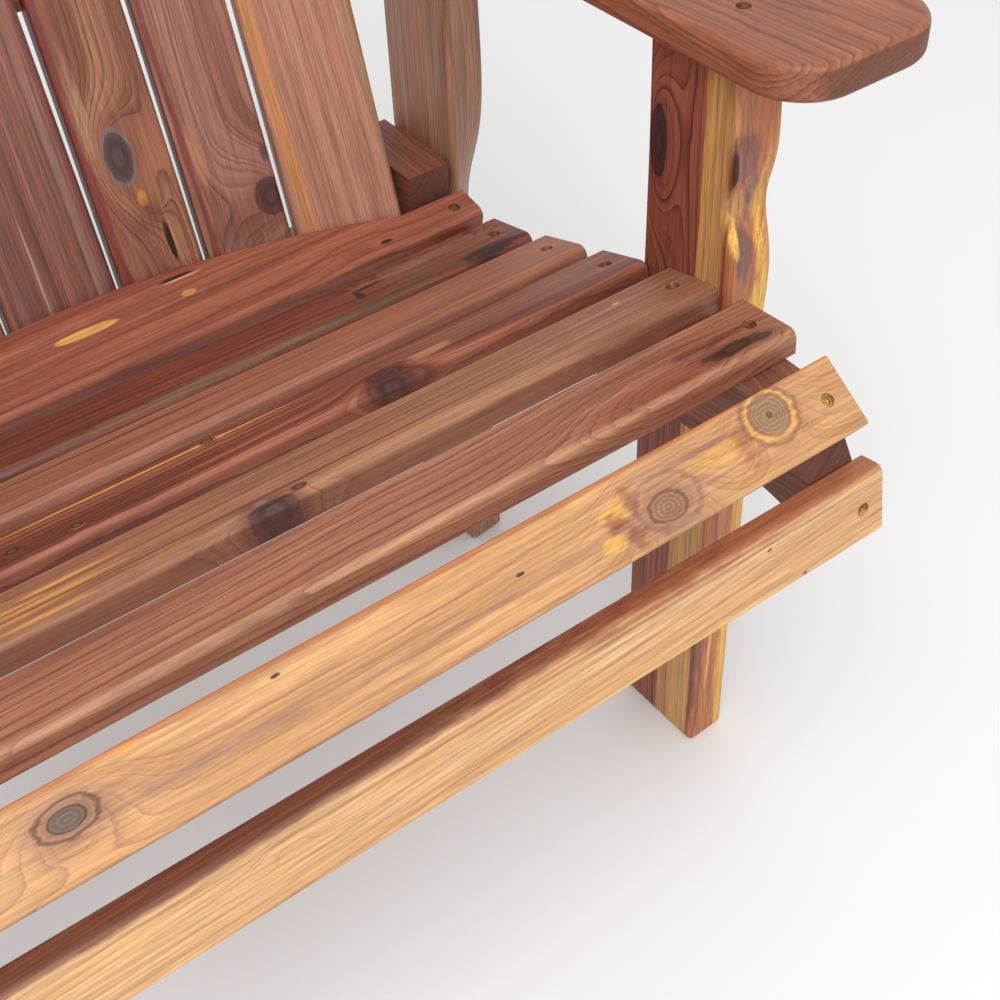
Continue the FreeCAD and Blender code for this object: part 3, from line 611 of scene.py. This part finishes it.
BACK_LOOKS = {
    "back_slat_1": dict(
        seed=21.0, heart="#9a6553", tone="#865243", late="#552f27", ring=0.0038, line=0.8,
        pith=(0.05, -0.06), taper=0.02, knots=[plain_knot(60, -12, 16, 8)]),
    "back_slat_2": dict(
        seed=22.0, heart="#8e5a49", tone="#a36d57", late="#5a3229", ring=0.0032, line=0.8,
        pith=(0.12, -0.05), taper=0.008, spots=[streak(-120, 22, 200, 4)]),
    "back_slat_3": dict(
        seed=23.0, heart="#a8745c", tone="#965f4a", late="#633a2d", ring=0.0034, line=0.8,
        pith=(0.02, -0.06), taper=0.035, knots=[plain_knot(-160, 8, 18, 9, "#4a2c28", "#6e463c")]),
    "back_slat_4": dict(
        seed=24.0, heart="#8f6056", tone="#7a4d42", late="#4f302a", ring=0.0036, line=0.8, taper=0.004,
        warp=0.004, pith=(0.2, -0.05), side_shade=0.6,
        spots=[streak(-275, 11, 36, 0.9, "#b09a90", blur=0.5),
               streak(-243, -30, 130, 3, "#93796e", strength=0.5),
               streak(-243, -39, 300, 2.5, "#7c3f3c", blur=0.5, strength=0.6),
               streak(-150, 24, 300, 3, "#5f3f3a", blur=0.6, strength=0.6)],
        knots=[plain_knot(150, 14, 18, 9)]),
    "back_slat_5": dict(
        seed=25.0, heart="#a8745a", tone="#84523f", late="#472620", ring=0.0036, line=0.85, warp=0.014,
        pith=(0.06, -0.06), taper=0.01, side_shade=0.8,
        spots=[streak(-251, 0, 6, 3.5, "#c98a45", ragged=1.5),
               streak(-288, -10, 16, 2.8, "#1d1210", ragged=0.6),
               streak(-286, -13.5, 15, 1.2, "#c08a62", blur=0.4),
               streak(-224, 31, 300, 3.2, "#7a3230", blur=0.5, strength=0.85),
               streak(-180, 24, 36, 5, "#b08a68", blur=0.6, strength=0.7, ragged=1.6),
               streak(-266, -2, 12, 10, "#6a3626", blur=0.6, strength=0.6, ragged=2.2)],
        knots=[knot(-217, 7, 21, 11, "#3b2d30", "#4d3c3e", lift=0.03, spread=1.9, count=1.5, halo=0.5,
                    rim=0.7, edge="#6c686e", around="#7e4c38", ragged=0.3),
               knot(-257, -5, 12, 8, lift=0.012, spread=1.3)]),
    "back_slat_6": dict(
        seed=26.0, heart="#a17262", tone="#8c5c4d", late="#55302a", ring=0.0032, line=0.85, warp=0.008,
        pith=(-0.06, -0.06), taper=0.03, side_shade=0.8,
        spots=[streak(-227, 24, 22, 5, "#b98266", blur=0.5, strength=0.7),
               streak(-240, 32, 300, 2.6, "#7a3230", blur=0.5, strength=0.8),
               streak(-241, -26, 7, 3, "#42344a", blur=0.5, strength=0.8),
               streak(-292, -2, 14, 30, "#5e2f2a", blur=0.6, strength=0.6)],
        knots=[knot(-274, -22, 14, 12, "#402022", "#55302e", lift=0.03, spread=3.0, count=1.5, halo=0.5,
                    rim=0.7, edge="#371a1c", around="#7a4a3c", ragged=0.3)]),
    "back_slat_7": dict(
        seed=27.0, heart="#b58570", tone="#a97661", late="#7c4f42", ring=0.0030, line=0.7, taper=0.003,
        warp=0.003, pith=(0.2, -0.05),
        spots=[streak(0, 40, 900, 5.0, "#bd8352", blur=0.4, ragged=0.5),
               streak(0, -37, 900, 8, "#9e7b5c", blur=0.2, strength=0.75)]),
}

RAIL_LOOK = dict(seed=60.0, heart="#7c4837", tone="#8a5541", late="#5c2e23", ring=0.004, line=0.8)

# Boards that come in a left and a right one
PAIR_LOOKS = {
    "front_leg": dict(
        seed=40.0, heart="#985746", tone="#874b3a", late="#4c2018", ring=0.0046, line=1.0,
        pith=(-0.07, -0.07), taper=0.01, warp=0.008,
        sap=dict(edge=0.0035, slope=0.0325, colour="#c69a62", tone="#b58654", wander=0.004, blur=0.003),
        spots=[streak(120, 13, 300, 2.4, "#d3a25a", blur=0.5, strength=0.7),
               streak(0, 44, 900, 8, "#b4704c", blur=0.25, ragged=0.3, strength=0.95),
               bark_side(-120, 14, 300, 8, "#e3b056", blur=0.35, ragged=0.5),
               bark_side(105, 11, 62, 13, "#ecbb58", blur=0.2, ragged=0.8),
               bark_side(198, 8, 42, 5, "#e3ae52", blur=0.4, ragged=1.2),
               bark_side(228, 14, 50, 5, "#c98c50", blur=0.4),
               bark_side(186, -8, 24, 8, "#7b5a54", blur=0.25, ragged=1.8, strength=0.9),
               bark_side(255, -8, 22, 10, "#82584e", blur=0.25, ragged=1.8, strength=0.9),
               bark_side(222, 0, 22, 6, "#7c5a50", blur=0.3, ragged=1.8, strength=0.8),
               bark_side(203, -15, 20, 4, "#efc25e", blur=0.25, ragged=0.8),
               bark_side(252, -17, 26, 2.5, "#351c1a", blur=0.3, ragged=1.0),
               bark_side(-205, -3, 70, 1.6, "#dba862", blur=0.5, ragged=0.5),
               bark_side(-170, -12, 140, 4, "#8a4638", blur=0.5, strength=0.7),
               inner_face(150, 110, 1.6, "#8c3f26", 0.5, 0.8),
               inner_face(-235, 90, 2.4, "#6e3c36", 0.4, 0.9)],
        knots=[knot(238, -33, 25, 7.5, "#271b22", "#3a2a30", lift=0.034, spread=2.6, count=1.5, halo=0.5,
                    around="#5c2c28", rim=0.8, edge="#1a1216", ragged=0.3)]),
    "rear_leg": dict(
        seed=45.0, heart="#a57e66", tone="#98705a", late="#6a4234", ring=0.004, line=0.7,
        pith=(0.2, -0.05), taper=0.004, warp=0.004,
        spots=[streak(60, 2, 400, 10, "#9a6a54", blur=0.6)], knots=[plain_knot(-120, -20, 18, 9)]),
    "stringer": dict(
        seed=30.0, heart="#895544", tone="#744635", late="#45241c", ring=0.0042, line=0.8,
        pith=(0.1, -0.06),
        spots=[streak(-160, 30, 90, 4, "#8a6a48", blur=0.6, strength=0.7),
               streak(-60, 10, 160, 5, "#86684a", blur=0.6, strength=0.5, ragged=2.0)]),
    "armrest": dict(
        seed=50.0, heart="#a0684e", tone="#8f573f", late="#5c2e23", ring=0.0042, line=0.85,
        pith=(0.03, -0.07), taper=0.03, warp=0.012,
        spots=[streak(-60, 50, 160, 5)], knots=[plain_knot(90, -18, 16, 9, lift=0.02)]),
    "front_packer": dict(seed=55.0),
    "rear_packer": dict(seed=56.0),
}

for slat_name, look in (SEAT_LOOKS | BACK_LOOKS).items():
    dress(slat_name, **look)
for side_name in ("left", "right"):
    for board_name, look in PAIR_LOOKS.items():
        dress(board_name + "_" + side_name, **look)
for rail_name in ("lower_back_rail", "armrest_rail", "upper_back_batten"):
    dress(rail_name, **RAIL_LOOK)


# ---- Metals ----

METAL_MOTTLE = 260.0
METAL_ROUGHER = 0.15
METAL_TARNISH = "#b0965a"
METAL_BUMP = 0.2
METAL_DEPTH = 0.0001


def metal(name, colour, roughness):
    """Plated steel with a mottled sheen."""
    material = bpy.data.materials.new(name)
    material.use_nodes = True
    graph = Graph(material.node_tree)
    shader = material.node_tree.nodes["Principled BSDF"]
    shader.inputs["Metallic"].default_value = 1.0
    place = graph.add("ShaderNodeTexCoord").outputs["Object"]
    mottle = graph.noise(place, METAL_MOTTLE)
    graph.plug(graph.blend(mottle, linear(colour), linear(METAL_TARNISH)), shader.inputs["Base Color"])
    rough = graph.step(mottle, *NOISE_RANGE, roughness, roughness + METAL_ROUGHER)
    graph.plug(rough, shader.inputs["Roughness"])
    graph.plug(graph.bump(mottle, METAL_BUMP, METAL_DEPTH), shader.inputs["Normal"])
    return material


YELLOW_PLATED = metal("yellow_plated_steel", "#d8c070", 0.28)
ZINC_PLATED = metal("zinc_plated_steel", "#c8c8c4", 0.32)
for node_name in NODES:
    if node_name.endswith("screws"):
        coat(node_name, YELLOW_PLATED)
    elif node_name.startswith("leg_bolt"):
        coat(node_name, ZINC_PLATED)


# ---- Studio ----

FLOOR_SIZE = 40
FLOOR_GREY = 0.86
FLOOR_ROUGHNESS = 0.9
WORLD_STRENGTH = 0.82

LEG_DEPTH = 0.089
SENSOR_WIDTH = 36.0
FOCAL_LENGTH = 56.03
# From the foot of the right front leg, at its inner front corner
CAMERA_OFFSET = (-0.615, -0.5944, 1.0914)
CAMERA_RIGHT = (0.79883, -0.60072, -0.03071)
CAMERA_UP = (0.4298, 0.5344, 0.72775)


def add_floor():
    bpy.ops.mesh.primitive_plane_add(size=FLOOR_SIZE)
    floor = bpy.context.object
    floor.name = "studio_floor"
    material = bpy.data.materials.new("pale_floor")
    material.use_nodes = True
    shader = material.node_tree.nodes["Principled BSDF"]
    shader.inputs["Base Color"].default_value = (FLOOR_GREY, FLOOR_GREY, FLOOR_GREY, 1)
    shader.inputs["Roughness"].default_value = FLOOR_ROUGHNESS
    floor.data.materials.append(material)


def add_softbox(name, position, target, size, power):
    light = bpy.data.lights.new(name, "AREA")
    light.shape = "SQUARE"
    light.size = size
    light.energy = power
    lamp = bpy.data.objects.new(name, light)
    lamp.location = position
    lamp.rotation_euler = (Vector(target) - Vector(position)).to_track_quat("-Z", "Y").to_euler()
    bpy.context.scene.collection.objects.link(lamp)


def add_world():
    world = bpy.data.worlds.new("studio")
    world.use_nodes = True
    background = world.node_tree.nodes["Background"]
    background.inputs["Color"].default_value = (1, 1, 1, 1)
    background.inputs["Strength"].default_value = WORLD_STRENGTH
    bpy.context.scene.world = world


def add_camera():
    """Looks down over the seat at the right front leg."""
    leg_low, leg_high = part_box("front_leg_right")
    corner = Vector((leg_low[0], leg_high[1] - LEG_DEPTH, 0.0))
    data = bpy.data.cameras.new("camera")
    data.sensor_width = SENSOR_WIDTH
    data.lens = FOCAL_LENGTH
    camera = bpy.data.objects.new("camera", data)
    camera.location = corner + Vector(CAMERA_OFFSET)
    right = Vector(CAMERA_RIGHT)
    up = Vector(CAMERA_UP)
    camera.rotation_euler = Matrix((right, up, right.cross(up))).transposed().to_euler()
    bpy.context.scene.collection.objects.link(camera)
    bpy.context.scene.camera = camera


add_floor()
add_world()
add_softbox("key", position=(-1.0, -1.7, 2.9), target=(0.0, 0.0, 0.45), size=2.0, power=66)
add_camera()
bpy.context.scene.view_settings.view_transform = "Standard"
